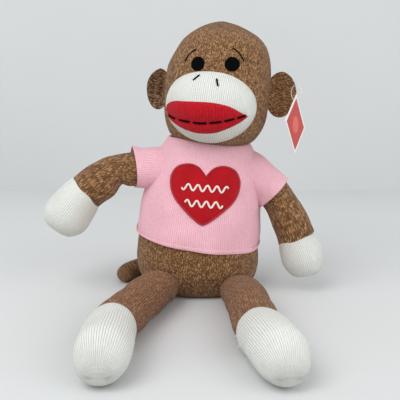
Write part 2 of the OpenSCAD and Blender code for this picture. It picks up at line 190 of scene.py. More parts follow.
def castOn(piece, start, way):
    # where a straight line first meets a piece, and which way the surface faces there
    hit, spot, facing, _ = piece.ray_cast(start, way.normalized())
    if not hit:
        return None, None
    if facing.dot(way) > 0:
        facing = -facing
    return spot, facing


def onFace(piece, x, z, out=0.0):
    spot, facing = castOn(piece, fromHead(x, -160, z), headBack)
    if spot is None:
        return None
    return spot + facing * out * mm


def onFront(piece, x, z, out=0.0):
    spot, facing = castOn(piece, fromTorso(x, -200, z), Vector((0, 1, 0)))
    if spot is None:
        return None
    return spot + facing * out * mm


# shader writing
class Value:
    # one socket that can be used in plain arithmetic
    def __init__(self, maker, socket):
        self.maker = maker
        self.socket = socket

    def math(self, operation, *others, swap=False):
        values = (*others, self) if swap else (self, *others)
        return self.maker.make("ShaderNodeMath", {"operation": operation}, values)

    def __add__(self, other):
        return self.math("ADD", other)

    __radd__ = __add__

    def __mul__(self, other):
        return self.math("MULTIPLY", other)

    __rmul__ = __mul__

    def __sub__(self, other):
        return self.math("SUBTRACT", other)

    def __rsub__(self, other):
        return self.math("SUBTRACT", other, swap=True)

    def __pow__(self, other):
        return self.math("POWER", other)

    def __abs__(self):
        return self.math("ABSOLUTE")

    def fraction(self):
        return self.math("FRACT")

    def whole(self):
        return self.math("FLOOR")

    def wave(self):
        return self.math("SINE")

    def above(self, other):
        return self.math("GREATER_THAN", other)

    def limit(self, low=0.0, high=1.0):
        return self.math("MAXIMUM", low).math("MINIMUM", high)


class Maker:
    def __init__(self, name):
        self.material = bpy.data.materials.new(name)
        self.material.use_nodes = True
        self.tree = self.material.node_tree
        self.shader = self.tree.nodes["Principled BSDF"]

    def make(self, kind, settings=None, inputs=(), output=0):
        # any node: its settings first, then its sockets by place or by name
        node = self.tree.nodes.new(kind)
        for name, value in (settings or {}).items():
            if name == "stops":
                self.stops(node, value)
            else:
                setattr(node, name, value)
        pairs = inputs.items() if isinstance(inputs, dict) else enumerate(inputs)
        for key, value in pairs:
            self.put(node.inputs[key], value)
        return Value(self, node.outputs[output])

    def stops(self, node, stops):
        ramp = node.color_ramp
        while len(ramp.elements) < len(stops):
            ramp.elements.new(0.5)
        for element, (position, colour) in zip(ramp.elements, stops):
            element.position = position
            element.color = (*colour, 1)

    def put(self, socket, value):
        if isinstance(value, Value):
            self.tree.links.new(value.socket, socket)
        else:
            socket.default_value = value

    def ramp(self, factor, stops):
        return self.make("ShaderNodeValToRGB", {"stops": stops}, [factor])

    def blend(self, factor, a, b, kind="MIX"):
        node = {"data_type": "RGBA", "blend_type": kind}
        return self.make("ShaderNodeMix", node, {0: factor, 6: a, 7: b}, output=2)

    def finish(self, **sockets):
        for name, value in sockets.items():
            self.put(self.shader.inputs[name.replace("_", " ")], value)
        return self.material


def linear(red, green, blue):
    # screen colour, 0 to 255, as the light value that shaders use
    def one(value):
        value /= 255
        return value / 12.92 if value <= 0.04045 else ((value + 0.055) / 1.055) ** 2.4
    return (one(red), one(green), one(blue))


def knitMaterial(name, yarn):
    # rows of V stitches that follow the UV map, one stitch for each whole number; the gaps between wales and round
    # each stitch are darkened with painted shade
    maker = Maker(name)
    uv = maker.make("ShaderNodeUVMap", {"uv_map": "UVMap"})
    x = maker.make("ShaderNodeSeparateXYZ", None, [uv], output=0)
    y = maker.make("ShaderNodeSeparateXYZ", None, [uv], output=1)
    side = abs(x.fraction() - 0.5)
    slant = y + side * yarn["slant"]
    strand = 1 - ((side - 0.25) * 4) ** 2
    bead = (slant.fraction() * math.pi).wave()
    wale = 1 - (side * 2) ** 3
    rib = wale.limit() * (strand.limit() * 0.4 + 0.6) * (bead * yarn["bead"] + (1 - yarn["bead"]))
    place = maker.make("ShaderNodeTexCoord", output=3)
    yarnSpot = maker.make("ShaderNodeCombineXYZ", None, [(x * 2).whole(), slant.whole(), 0.0])
    each = maker.make("ShaderNodeTexWhiteNoise", {"noise_dimensions": "3D"}, [yarnSpot], output=0)
    streakSpot = maker.make("ShaderNodeCombineXYZ", None, [x * 2.2, slant * 1.1, 0.0])
    streak = maker.make("ShaderNodeTexNoise", None,
                        {"Vector": streakSpot, "Scale": yarn["fleck"], "Detail": 3.0, "Roughness": 0.7})
    patch = maker.make("ShaderNodeTexNoise", None, {"Vector": place, "Scale": 22.0, "Detail": 2.0})
    mix = each * yarn["each"] + streak * (1 - yarn["each"])
    colour = maker.ramp(mix, yarn["colours"])
    # painted shade: the yarn's colour for the gaps is multiplied in wherever the stitch relief falls away
    grooveShade = maker.blend(1 - rib, (1, 1, 1, 1), (*yarn["grooveShade"], 1))
    colour = maker.blend(yarn["shade"], colour, grooveShade, kind="MULTIPLY")
    patchTint = maker.ramp(patch, [(0.3, (0.90, 0.89, 0.88)), (0.7, (1.0, 1.0, 1.0))])
    colour = maker.blend(1.0, colour, patchTint, kind="MULTIPLY")
    fuzz = maker.make("ShaderNodeTexNoise", None, {"Vector": place, "Scale": 1400.0, "Detail": 2.0})
    height = rib + fuzz * yarn["fuzz"]
    bump = maker.make("ShaderNodeBump", None, {"Strength": yarn["bump"], "Distance": 0.0009, "Height": height})
    return maker.finish(Base_Color=colour, Roughness=0.95, Normal=bump, Specular_IOR_Level=0.15,
                        Sheen_Weight=yarn["sheen"], Sheen_Roughness=0.6)


def velourMaterial(name, pile):
    # short dense pile that catches light unevenly
    maker = Maker(name)
    place = maker.make("ShaderNodeTexCoord", output=3)
    fine = maker.make("ShaderNodeTexNoise", None, {"Vector": place, "Scale": 900.0, "Detail": 3.0})
    brushed = maker.make("ShaderNodeTexNoise", None, {"Vector": place, "Scale": 60.0, "Detail": 3.0})
    colour = maker.ramp(fine * 0.45 + brushed * 0.55, pile["colours"])
    bump = maker.make("ShaderNodeBump", None, {"Strength": 0.5, "Distance": 0.0006, "Height": fine})
    return maker.finish(Base_Color=colour, Roughness=0.9, Normal=bump, Sheen_Weight=0.35,
                        Sheen_Roughness=0.4, Specular_IOR_Level=0.2)


def threadMaterial(name, thread):
    # laid embroidery thread, fine ridges across the UV map; the colour follows the ridges, with painted shade in the
    # gaps between strands and painted highlight on their crowns
    maker = Maker(name)
    uv = maker.make("ShaderNodeUVMap", {"uv_map": "UVMap"})
    x = maker.make("ShaderNodeSeparateXYZ", None, [uv], output=0)
    y = maker.make("ShaderNodeSeparateXYZ", None, [uv], output=1)
    ridge = abs(((x + y * thread["twist"]) * math.pi).wave())
    place = maker.make("ShaderNodeTexCoord", output=3)
    wear = maker.make("ShaderNodeTexNoise", None, {"Vector": place, "Scale": 500.0, "Detail": 2.0})
    # painted shade and highlight: the colour runs dark in the gaps between strands and light on their crowns, mixed
    # with random tone
    colour = maker.ramp(ridge * 0.7 + wear * 0.3, thread["colours"])
    bump = maker.make("ShaderNodeBump", None, {"Strength": 0.6, "Distance": 0.0004, "Height": ridge})
    return maker.finish(Base_Color=colour, Roughness=thread["rough"], Normal=bump, Specular_IOR_Level=thread["shine"])


# in each yarn, the colour listed for the gaps between stitches is painted shade, laid on at the shade strength
yarns = {
    "brown": dict(slant=1.3, bead=0.45, each=0.62, fleck=1.5, grooveShade=(0.50, 0.42, 0.34), shade=0.85, fuzz=0.35,
                  bump=0.75, sheen=0.10,
                  colours=[(0.20, linear(92, 61, 36)), (0.42, linear(131, 91, 56)), (0.60, linear(149, 107, 69)),
                           (0.84, linear(204, 164, 116))]),
    "rust": dict(slant=1.3, bead=0.3, each=0.4, fleck=1.5, grooveShade=(0.30, 0.24, 0.19), shade=0.95, fuzz=0.35,
                 bump=0.9, sheen=0.10,
                 colours=[(0.20, linear(98, 62, 36)), (0.42, linear(142, 95, 58)), (0.60, linear(160, 112, 72)),
                          (0.84, linear(220, 180, 134))]),
    "white": dict(slant=1.2, bead=0.2, each=0.3, fleck=0.8, grooveShade=(0.56, 0.58, 0.56), shade=0.85, fuzz=0.3,
                  bump=0.9, sheen=0.1,
                  colours=[(0.2, linear(236, 238, 230)), (0.8, linear(252, 252, 246))]),
    "pink": dict(slant=1.0, bead=0.25, each=0.35, fleck=0.8, grooveShade=(0.74, 0.52, 0.58), shade=0.8, fuzz=0.3,
                 bump=0.7, sheen=0.12,
                 colours=[(0.2, linear(250, 188, 200)), (0.8, linear(255, 214, 222))]),
    "red": dict(slant=1.0, bead=0.35, each=0.4, fleck=0.8, grooveShade=(0.6, 0.4, 0.4), shade=0.8, fuzz=0.3,
                bump=0.5, sheen=0.05,
                colours=[(0.2, linear(172, 10, 24)), (0.8, linear(204, 24, 40))]),
}
# painted shade: a darker copy of the brown knit, used for the left ear, which sits in shade
yarns["lining"] = dict(yarns["brown"], colours=[(0.24, linear(70, 48, 32)), (0.42, linear(112, 80, 54)),
                                                (0.58, linear(134, 98, 68)), (0.80, linear(200, 164, 124))])
brownKnit = knitMaterial("brownMarlKnit", yarns["brown"])
shadedEarKnit = knitMaterial("shadedEarMarlKnit", yarns["lining"])
rustKnit = knitMaterial("rustMarlKnit", yarns["rust"])
whiteKnit = knitMaterial("whiteKnit", yarns["white"])
pinkKnit = knitMaterial("pinkRibKnit", yarns["pink"])
redKnit = knitMaterial("redKnit", yarns["red"])
redVelour = velourMaterial("redVelour", dict(colours=[(0.3, linear(146, 4, 16)), (0.7, linear(186, 12, 26))]))
# each thread's darker colour is painted shade for the gaps between strands, and its lighter colour is painted
# highlight on their crowns
threadLooks = {
    "black": dict(twist=0.0, rough=0.8, shine=0.04, colours=[(0.0, linear(1, 1, 2)), (1.0, linear(9, 9, 11))]),
    "red": dict(twist=0.0, rough=0.5, shine=0.3, colours=[(0.0, linear(120, 10, 24)), (1.0, linear(196, 44, 60))]),
    "cream": dict(twist=1.0, rough=0.6, shine=0.3,
                  colours=[(0.0, linear(214, 190, 180)), (1.0, linear(250, 240, 230))]),
}
blackThread = threadMaterial("blackThread", threadLooks["black"])
redThread = threadMaterial("redThread", threadLooks["red"])
creamThread = threadMaterial("creamThread", threadLooks["cream"])
print("materials made")

stitchSize = dict(wide=2.5, high=1.8)   # one knit stitch in millimetres
armGirth, handGirth, legGirth, footGirth, tailGirth = 138, 165, 148, 160, 78   # millimetres round each tube


def stitchCount(roundMm, longMm):
    return (round(roundMm / stitchSize["wide"]), longMm / stitchSize["high"])


def dress(piece, material, slot, body, *nodes, fill=None):
    piece.data.materials.clear()
    piece.data.materials.append(material)
    if body:
        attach(piece, body)
    if nodes:
        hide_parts(*nodes)
    return piece


# torso
torso = dict(
    depth=0.82,
    side=[(0, -1.5), (44, -1.5), (62, 4), (73, 18), (77.5, 36), (77.5, 54), (75.5, 76), (73, 98), (70, 120),
          (65, 142), (60, 160), (52, 174), (40, 181), (20, 184), (0, 185)],
    lumps=1.6, slump=2.5, squeeze=2.6,
)


def slump(height):
    # the soft belly sits a little to the left of the leaning back
    return -torso["slump"] * min(max((150 - height) / 60, 0), 1)


def torsoSkin(u, v):
    radius, height = along(torso["side"], v)
    turn = 2 * math.pi * u
    radius -= torso["squeeze"] * math.exp(-((height - 82) / 22) ** 4) * (0.6 + 0.4 * math.cos(turn))
    spot = fromTorso(radius * math.cos(turn) + slump(height), radius * torso["depth"] * math.sin(turn), height)
    spot += (spot - fromTorso(0, 0, height)).normalized() * lumps(spot, 0.035, torso["lumps"] * mm)
    spot.z = max(spot.z, 0.0004)
    return spot


torsoCover = softSheet("torsoCover", 96, 90, torsoSkin, stitchCount(440, 290))
dress(torsoCover, brownKnit, "brown_marl_knit", "torso", "torso_cover", "torso_stuffing", fill=0.85)
print("torso made")

# head
head = dict(
    depth=0.95,
    left=[(0, -72), (32, -71), (50, -66), (58, -54), (62, -38), (64, -16), (64.5, 2), (62, 18), (55, 33),
          (46, 48), (34.5, 58.5), (22, 66.2), (10, 70.8), (0, 72.5)],
    right=[(0, -72), (30, -71), (46, -66), (55.5, -54), (61, -38), (62, -16), (62, 2), (61, 18), (58.5, 33),
           (53, 47), (42, 58), (24, 66.5), (9, 70.5), (0, 72.5)],
    lumps=1.5,
)


def headSkin(u, v):
    turn = 2 * math.pi * u + math.pi / 2
    share = (1 + math.cos(turn)) / 2
    radius, height = (a + (b - a) * share for a, b in zip(along(head["left"], v), along(head["right"], v)))
    spot = fromHead(radius * math.cos(turn), radius * head["depth"] * math.sin(turn), height)
    spot += (spot - fromHead(0, 0, height * 0.6)).normalized() * lumps(spot, 0.04, head["lumps"] * mm)
    return spot


headCover = softSheet("headCover", 96, 90, headSkin, stitchCount(400, 250))
dress(headCover, brownKnit, "brown_marl_knit", None, "head_cover", "head_stuffing", "neck_cover",
      "neck_stuffing", fill=0.9)

muzzle = dict(centre=(-1.3, -36, -25.3), half=(52, 49, 42.6), lumps=0.8, stitch=(2.2, 1.7))


def muzzleSkin(u, v):
    turn = 2 * math.pi * u
    rise = (v - 0.5) * math.pi
    cx, cy, cz = muzzle["centre"]
    wide, deep, high = muzzle["half"]
    # poles lie in front and behind, clear of the outline
    x, z = math.cos(rise) * math.cos(turn), math.cos(rise) * math.sin(turn)
    spot = fromHead(cx + wide * x, cy + deep * math.sin(rise) * -1, cz + high * z)
    return spot + (spot - fromHead(cx, cy, cz)).normalized() * lumps(spot, 0.03, muzzle["lumps"] * mm)


muzzleCover = softSheet("muzzleCover", 72, 60, muzzleSkin)
for loop in muzzleCover.data.loops:
    # upright knit columns that keep their spacing round the bulge
    rel = muzzleCover.data.vertices[loop.vertex_index].co - fromHead(*muzzle["centre"])
    across, upward = (
        half * math.asin(max(-1, min(rel.dot(way) / mm / (half + 1), 1)))
        for way, half in ((headRight, muzzle["half"][0]), (torsoUp, muzzle["half"][2]))
    )
    muzzleCover.data.uv_layers[0].data[loop.index].uv = (across / muzzle["stitch"][0], upward / muzzle["stitch"][1])
dress(muzzleCover, whiteKnit, "white_knit", "head", "muzzle_cover", "muzzle_stuffing", fill=0.9)

lips = dict(
    top=[(-47, -31), (-44.5, -25.5), (-36, -22.5), (-24, -21.8), (2, -20.8), (16, -21.8), (28, -24.7),
         (43.5, -33)],
    bottom=[(-47, -31), (-45.8, -37), (-39.5, -44.5), (-24, -52.5), (-7, -56), (10, -54.2), (22, -49.4),
            (34.5, -41.5), (43.5, -33)],
    mouth=[(-47, -36.5), (-40, -40), (-30, -42.2), (-17, -43.3), (-3, -43.8), (13, -41.4), (28, -37.4),
           (43.5, -31.5)],
    thick=1.6, puff=2.6,
)


def heightAt(line, x):
    # height of a given line at x
    low, high = 0.0, 1.0
    for _ in range(24):
        middle = (low + high) / 2
        if along(line, middle)[0] < x:
            low = middle
        else:
            high = middle
    return along(line, (low + high) / 2)[1]


def lipSkin(u, v):
    left, right = lips["top"][0][0], lips["top"][-1][0]
    x = left + (right - left) * (0.5 - 0.5 * math.cos(math.pi * u))
    bottom, top = heightAt(lips["bottom"], x), heightAt(lips["top"], x)
    z = bottom + (top - bottom) * v
    crease = min(max((heightAt(lips["mouth"], x) - bottom) / max(top - bottom, 0.01), 0.08), 0.92)
    share = v / crease if v < crease else (v - crease) / (1 - crease)
    edge = math.sin(math.pi * u) ** 0.5
    swell = math.sin(math.pi * share) ** 0.6 * lips["puff"] * edge
    rim = min(v, 1 - v) * 12
    out = (min(rim, 1) * lips["thick"] - 0.5 + swell)
    spot = onFace(muzzleCover, x, z, out)
    return spot if spot is not None else fromHead(x, -40, z)


lipCover = softSheet("lipCover", 70, 30, lipSkin, (44, 22), closed=False)
flipIfNeeded(lipCover, -headBack)
dress(lipCover, redKnit, "red_knit", "head", "lips", fill=0.5)
print("head and muzzle made")


# stitched lines and patches
def stitch(name, points, radius, material, slot, body, *nodes):
    # a short thread lying along points given in metres
    route = [(*point, radius * mm, radius * mm) for point in points]
    up = headBack if body == "head" else Vector((0, 1, 0))
    length = tubeLength(route) / mm
    piece = softSheet(name, 8, max(10, round(length)), tubePlace(route, radius * mm, radius * mm, up=up),
                      (1, length / 0.9))
    return dress(piece, material, slot, body, *nodes)


def joinPieces(name, pieces):
    bpy.ops.object.select_all(action="DESELECT")
    for piece in pieces:
        piece.select_set(True)
    bpy.context.view_layer.objects.active = pieces[0]
    bpy.ops.object.join()
    pieces[0].name = name
    return pieces[0]


face = dict(
    eyes=dict(eyeLeft=(-16.6, 19.2), eyeRight=(21.2, 21.6)), eyeRadius=8.2,
    brows=dict(browLeft=[(-32, 21.3), (-29.5, 27.5), (-25.5, 32), (-21, 34.8)],
               browRight=[(19.5, 38.8), (25, 36.2), (29.5, 31.5), (33, 25.8)]),
    nostrils=[[(-17.4, 0.4), (-14, 4.1), (-11.5, 6.8)], [(8.2, 4.1), (9.3, 0.3), (11, -3.7)]],
    dashes=[(-43.4, -34.3), (-29.1, -16), (-12.4, 2.7), (5.6, 18.4), (21, 31.2), (34.4, 42)],
)


def eyeSkin(centre):
    def place(u, v):
        turn, reach = 2 * math.pi * u, v * face["eyeRadius"]
        out = 1.3 * math.sqrt(max(1 - v ** 6, 0)) - 0.2
        return onFace(headCover, centre[0] + reach * math.cos(turn), centre[1] + reach * math.sin(turn), out)
    return place


for name, centre in face["eyes"].items():
    eye = softSheet(name, 40, 14, eyeSkin(centre), closed=False)
    for loop in eye.data.loops:
        rel = eye.data.vertices[loop.vertex_index].co - headCentre
        eye.data.uv_layers[0].data[loop.index].uv = (rel.dot(torsoUp) / mm / 0.7, 0)
    flipIfNeeded(eye, -headBack)
    dress(eye, blackThread, "black_thread", "head", "eye_left" if name == "eyeLeft" else "eye_right")

for name, line in face["brows"].items():
    spots = [onFace(headCover, *along(line, i / 8), 0.35) for i in range(9)]
    stitch(name, spots, 0.75, blackThread, "black_thread", "head",
           "brow_left" if name == "browLeft" else "brow_right")

nostrils = []
for i, line in enumerate(face["nostrils"]):
    spots = [onFace(muzzleCover, *along(line, k / 6), 0.35) for k in range(7)]
    nostrils.append(stitch(f"nostril{i}", spots, 1.05, blackThread, "black_thread", "head"))
nostrilPair = joinPieces("nostrilStitches", nostrils)
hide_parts("nostril_stitches")

dashes = []
for i, (first, last) in enumerate(face["dashes"]):
    spots = []
    for k in range(7):
        x = first + (last - first) * k / 6
        z = heightAt(lips["mouth"], x)
        spots.append(onFace(lipCover, x, z, 0.5) or onFace(muzzleCover, x, z, 1.5))
    dashes.append(stitch(f"dash{i}", spots, 1.15, blackThread, "black_thread", "head"))
dashRow = joinPieces("mouthStitches", dashes)
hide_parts("mouth_stitches")
print("face stitched")

# ears
ears = dict(
    left=dict(root=(-60, 3, -9.5), out=26, high=26.5, sink=8, cut=5, back=5, level=3.5, name="earLeft",
              node="ear_left", body="ear_left_body"),
    right=dict(root=(59, 3, -6), out=32.5, high=27.5, sink=9, cut=3, back=5, level=1.5, name="earRight",
               node="ear_right", body="ear_right_body"),
)
earStitch = (2.1, 1.6)   # the ears' knit lies sideways


def earSkin(ear, way):
    def place(u, v):
        # a flat oval bag: v runs front to back over the rim, u runs round it
        turn, swing = 2 * math.pi * u, (v - 0.5) * math.pi
        reach = math.cos(swing)
        side, rise = reach * math.cos(turn), reach * math.sin(turn)
        x = ear["out"] * (0.5 + 0.56 * side)
        z = ear["high"] * rise - ear["cut"] * max(rise, 0) * max(side, 0) - ear["level"] * max(rise, 0) ** 2
        bowl = ear["sink"] * (1 - 0.9 * side * side - rise * rise)
        fold = 3.5 * math.exp(-((side + 0.25) / 0.22) ** 2) * math.exp(-(rise / 0.5) ** 2)
        thick = 4.6 * math.sin(swing) * (1 if v > 0.5 else 0.75)
        y = thick + bowl * (1 if v < 0.5 else 0.8) + (fold if v < 0.5 else 0) - ear["back"] * 0.4
        y += -3.0 * (x / ear["out"]) ** 2
        rx, ry, rz = ear["root"]
        spot = fromHead(rx + way * x, ry + y, rz + z)
        return spot + headBack * lumps(spot, 0.018, 1.2 * mm)
    return place


for side, ear in ears.items():
    way = -1 if side == "left" else 1
    piece = softSheet(ear["name"], 56, 36, earSkin(ear, way), stitchCount(120, 60))
    for loop in piece.data.loops:
        rel = piece.data.vertices[loop.vertex_index].co - headCentre
        columns, rows = rel.dot(torsoUp) / mm / earStitch[0], rel.dot(headRight) / mm / earStitch[1]
        piece.data.uv_layers[0].data[loop.index].uv = (columns, rows)
    # the left ear takes the darker copy of the brown knit as painted shade; the right ear keeps the plain brown
    dress(piece, shadedEarKnit if side == "left" else brownKnit, "brown_marl_knit", None, ear["node"], fill=0.5)
    rx, ry, rz = ear["root"]
    fromHead(rx + way * 1, ry, rz)
    fromHead(rx + way * 12, ry, rz)
    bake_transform(piece)
neck = dict(low=180, high=218)
fromTorso(0, 0, neck["low"])
fromTorso(0, 0, neck["high"])
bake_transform(headCover)
print("ears made")

# shirt
shirt = dict(
    side=[(78.8, 60), (79, 68), (78.2, 82), (76.8, 98), (74.3, 116), (70.5, 134), (66.5, 150), (62.5, 164),
          (58.5, 176), (52.5, 186), (49, 190.5)],
    depth=0.83, thick=1.5, pull=3.0,
)


def hemHeight(turn):
    # lower in front and on the right
    return 67 + 4.5 * math.sin(turn) - 5 * math.cos(turn)


def shirtSpot(turn, share, out=0.0):
    radius, height = along(shirt["side"], share)
    height += (hemHeight(turn) - 60) * (1 - share) ** 3
    radius += out - shirt["pull"] * (0.5 + 0.5 * math.cos(turn)) * (1 - share) ** 2
    spot = fromTorso(radius * math.cos(turn) + slump(height), radius * shirt["depth"] * math.sin(turn), height)
    away = (spot - fromTorso(0, 0, height)).normalized()
    ease = (1 - share) ** 2
    spot += away * (lumps(spot, 0.028, 1.8 * mm) + math.sin(turn * 9 + 1.0) * ease * 0.7 * mm)
    return spot


def shirtPanel(start):
    return lambda u, v: shirtSpot(start + math.pi * u, v)


for name, start, node in (("shirtFront", math.pi, "shirt_front"), ("shirtBack", 0.0, "shirt_back")):
    panel = softSheet(name, 80, 60, shirtPanel(start), (96, 78), closed=False)
    flipIfNeeded(panel, Vector((0, -1 if start else 1, 0)))
    thicken(panel, shirt["thick"] * mm, -1.0)
    dress(panel, pinkKnit, "pink_rib_knit", "torso", node)
shirtFront = bpy.data.objects["shirtFront"]


def bandSkin(low, high, lift):
    def place(u, v):
        # a flattened ring of cloth round the shirt's edge
        turn = 2 * math.pi * u
        angle = 2 * math.pi * v
        share = (low + high) / 2 + (high - low) / 2 * math.sin(angle)
        return shirtSpot(turn, share, lift + 0.9 * math.cos(angle))
    return place


hem = softSheet("shirtHem", 180, 16, bandSkin(-0.006, 0.078, 0.8), (190, 8))
dress(hem, pinkKnit, "pink_rib_knit", "torso", "shirt_hem")
collar = softSheet("shirtCollar", 140, 12, bandSkin(0.955, 1.0, 0.0), (130, 8))
dress(collar, pinkKnit, "pink_rib_knit", "torso", "shirt_collar")

sleeves = dict(
    left=dict(body="upper_arm_left_body", joint="shoulder_left", nodes=("sleeve_left", "sleeve_cuff_left"),
              path=[(-30, -4, 151, 28, 29), (-44, -4.5, 153, 28, 28), (-57, -6, 154, 27, 26),
                    (-68, -8, 154.5, 26, 24.5), (-77.5, -9, 156, 26, 25)], skew=5.5, yaw=4),
    right=dict(body="upper_arm_right_body", joint="shoulder_right", nodes=("sleeve_right", "sleeve_cuff_right"),
               path=[(54, -4, 153, 27, 27), (66, -4.5, 146, 27, 27), (78, -6, 138, 26, 25.5),
                     (88, -8, 131, 25.5, 24), (96, -9, 124, 25.5, 23.5)], skew=1, yaw=0),
)


def sleeveSkin(path, skew, yaw):
    points = [(x * mm, y * mm, z * mm, wide * mm, high * mm) for x, y, z, wide, high in path]

    def place(u, v):
        x, y, z, wide, high = along(points, v)
        way = (Vector(along(points, v + 0.02)[:3]) - Vector(along(points, v - 0.02)[:3])).normalized()
        side = way.cross(Vector((0, 0, 1))).normalized()
        top = side.cross(way)
        turn = 2 * math.pi * u
        spot = Vector((x, y, z)) + side * wide * math.cos(turn) + top * high * math.sin(turn)
        spot += way * (skew * math.sin(turn) + yaw * math.cos(turn)) * mm * v
        away = (spot - Vector((x, y, z))).normalized()
        return spot + away * (lumps(spot, 0.02, 1.4 * mm) + math.sin(turn * 4 + 0.6) * 0.6 * mm * v)
    return place


for side, sleeve in sleeves.items():
    name = "sleeveLeft" if side == "left" else "sleeveRight"
    piece = softSheet(name, 72, 30, sleeveSkin(sleeve["path"], sleeve["skew"], sleeve["yaw"]), (74, 26), closed=True)
    thicken(piece, 1.6 * mm, -1.0)
    dress(piece, pinkKnit, "pink_rib_knit", None, *sleeve["nodes"])
    pivot = jointAt(sleeve["joint"])
    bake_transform(piece)
print("shirt made")

# heart
heart = dict(
    centre=(-1, 129.5), border=2.6,
    half=[(0, 22), (4, 27.5), (10, 32.5), (19, 34.8), (28.5, 33), (36, 28), (40.5, 19), (41, 10), (38.5, 0),
          (33, -9), (25, -17), (16, -25), (7.5, -31.5), (2.5, -34.4), (0, -35)],
)


def heartOutline(turn, grow=0.0):
    # one half is drawn from the notch down to the point, the other mirrors it
    share = turn / math.pi
    x, z = along(heart["half"], share if share <= 1 else 2 - share)
    spot = Vector((x if share <= 1 else -x, z))
    return spot * (1 + grow / spot.length)


def heartSkin(u, v):
    edge = heartOutline(2 * math.pi * u, -heart["border"] * 0.6)
    spot = edge * v
    out = 1.0 - 1.2 * max(0, (v - 0.94) / 0.06) ** 2
    return onFront(shirtFront, heart["centre"][0] + spot.x, heart["centre"][1] + spot.y, out)


heartPatch = softSheet("heartPatch", 120, 24, heartSkin, closed=False)
flipIfNeeded(heartPatch, Vector((0, -1, 0)))
dress(heartPatch, redVelour, "red_velour", "torso", "heart_patch")


def borderSkin(u, v):
    # a raised bead of satin stitch round the heart
    angle = 2 * math.pi * v
    edge = heartOutline(2 * math.pi * u, -heart["border"] / 2 + math.cos(angle) * heart["border"] / 2)
    out = 0.6 + 1.0 * math.sin(angle)
    return onFront(shirtFront, heart["centre"][0] + edge.x, heart["centre"][1] + edge.y, out)


heartBorder = softSheet("heartBorder", 260, 10, borderSkin, (300, 1))
dress(heartBorder, redThread, "border_thread", "torso", "heart_border")

waves = dict(rows=[(8, 27), (-10, 22)], high=3.6, step=11)
threads = []
for row, (level, half) in enumerate(waves["rows"]):
    count = round(half * 2 / waves["step"] * 6)
    spots = []
    for i in range(count + 1):
        x = -half + 2 * half * i / count
        z = heart["centre"][1] + level + waves["high"] * math.sin(2 * math.pi * x / waves["step"])
        spots.append(onFront(heartPatch, heart["centre"][0] + x, z, 0.4))
    threads.append(stitch(f"wave{row}", spots, 1.15, creamThread, "cream_thread", "torso"))
waveRows = joinPieces("heartStitching", threads)
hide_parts("heart_stitching")
print("heart made")

# arms
arms = dict(
    left=dict(upper="upper_arm_left_body", fore="forearm_left_body", elbow="elbow_left",
              cover=[(-46, -4, 153, 20.5, 20.5), (-66, -7, 153, 21, 21), (-83, -8.5, 152.5, 21, 21),
                     (-99, -10, 150, 21.5, 21.5), (-117, -13, 140, 23, 23.5), (-138, -16, 124.5, 23.5, 24.5)],
              crease=(-93, -9, 132), creaseDeep=5,
              hand=[(-134, -15, 128.5, 22.5, 23), (-141, -16.5, 121.5, 25.5, 27), (-152, -18.5, 107.5, 28, 29),
                    (-164, -20, 92, 28.5, 29), (-173, -21, 79.5, 27, 27)],
              nodes=("upper_arm_left", "upper_arm_left_stuffing", "forearm_left", "forearm_left_stuffing"),
              handNode="hand_left"),
    right=dict(upper="upper_arm_right_body", fore="forearm_right_body", elbow="elbow_right",
               cover=[(70, -4, 146, 20.5, 20.5), (82, -6, 136, 21, 21), (95, -8, 124, 21, 21),
                      (105.5, -9.5, 109, 21.5, 21.5), (115, -12, 90, 22.5, 22.5), (125, -15, 66, 23.5, 23)],
               crease=(90, -9, 101), creaseDeep=1.5,
               hand=[(121.5, -15, 71, 21.5, 21), (125, -16, 62, 24, 23.5), (129.5, -18, 50, 26, 25.5),
                     (134, -20, 36, 26, 25.5), (137, -21, 21, 25, 25)],
               nodes=("upper_arm_right", "upper_arm_right_stuffing", "forearm_right", "forearm_right_stuffing"),
               handNode="hand_right"),
)


def toMetres(path):
    return [tuple(value * mm for value in point) for point in path]


for side, arm in arms.items():
    label = side.capitalize()
    route = toMetres(arm["cover"])
    turnAxis = Vector((0, 1, 0))
    place = tubePlace(route, 12 * mm, 3 * mm, up=turnAxis, depth=1.6 * mm, size=0.022)
    cover = softSheet(f"armCover{label}", 60, 70, place, stitchCount(armGirth, tubeLength(route) / mm))
    crease = Vector(arm["crease"]) * mm
    for vertex in cover.data.vertices:
        # the unstuffed bend pulls its underside in
        near = math.exp(-(((vertex.co.x - crease.x) / 0.006) ** 2) - ((vertex.co.z - crease.z) / 0.016) ** 2)
        vertex.co.z += arm["creaseDeep"] * mm * near
    dress(cover, brownKnit, "brown_marl_knit", None, *arm["nodes"], fill=0.7)
    pivot, way = jointAt(arm["elbow"]), (Vector(route[-1][:3]) - Vector(route[2][:3])).normalized()
    pivot - way * 0.014
    pivot + way * 0.016
    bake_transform(cover)
    route = toMetres(arm["hand"])
    place = tubePlace(route, 4 * mm, 24 * mm, up=turnAxis, depth=1.2 * mm, size=0.025, seam=0.3)
    hand = softSheet(f"handCover{label}", 60, 50, place, stitchCount(handGirth, tubeLength(route) / mm))
    dress(hand, whiteKnit, "white_knit", arm["fore"], arm["handNode"], fill=0.8)
print("arms made")

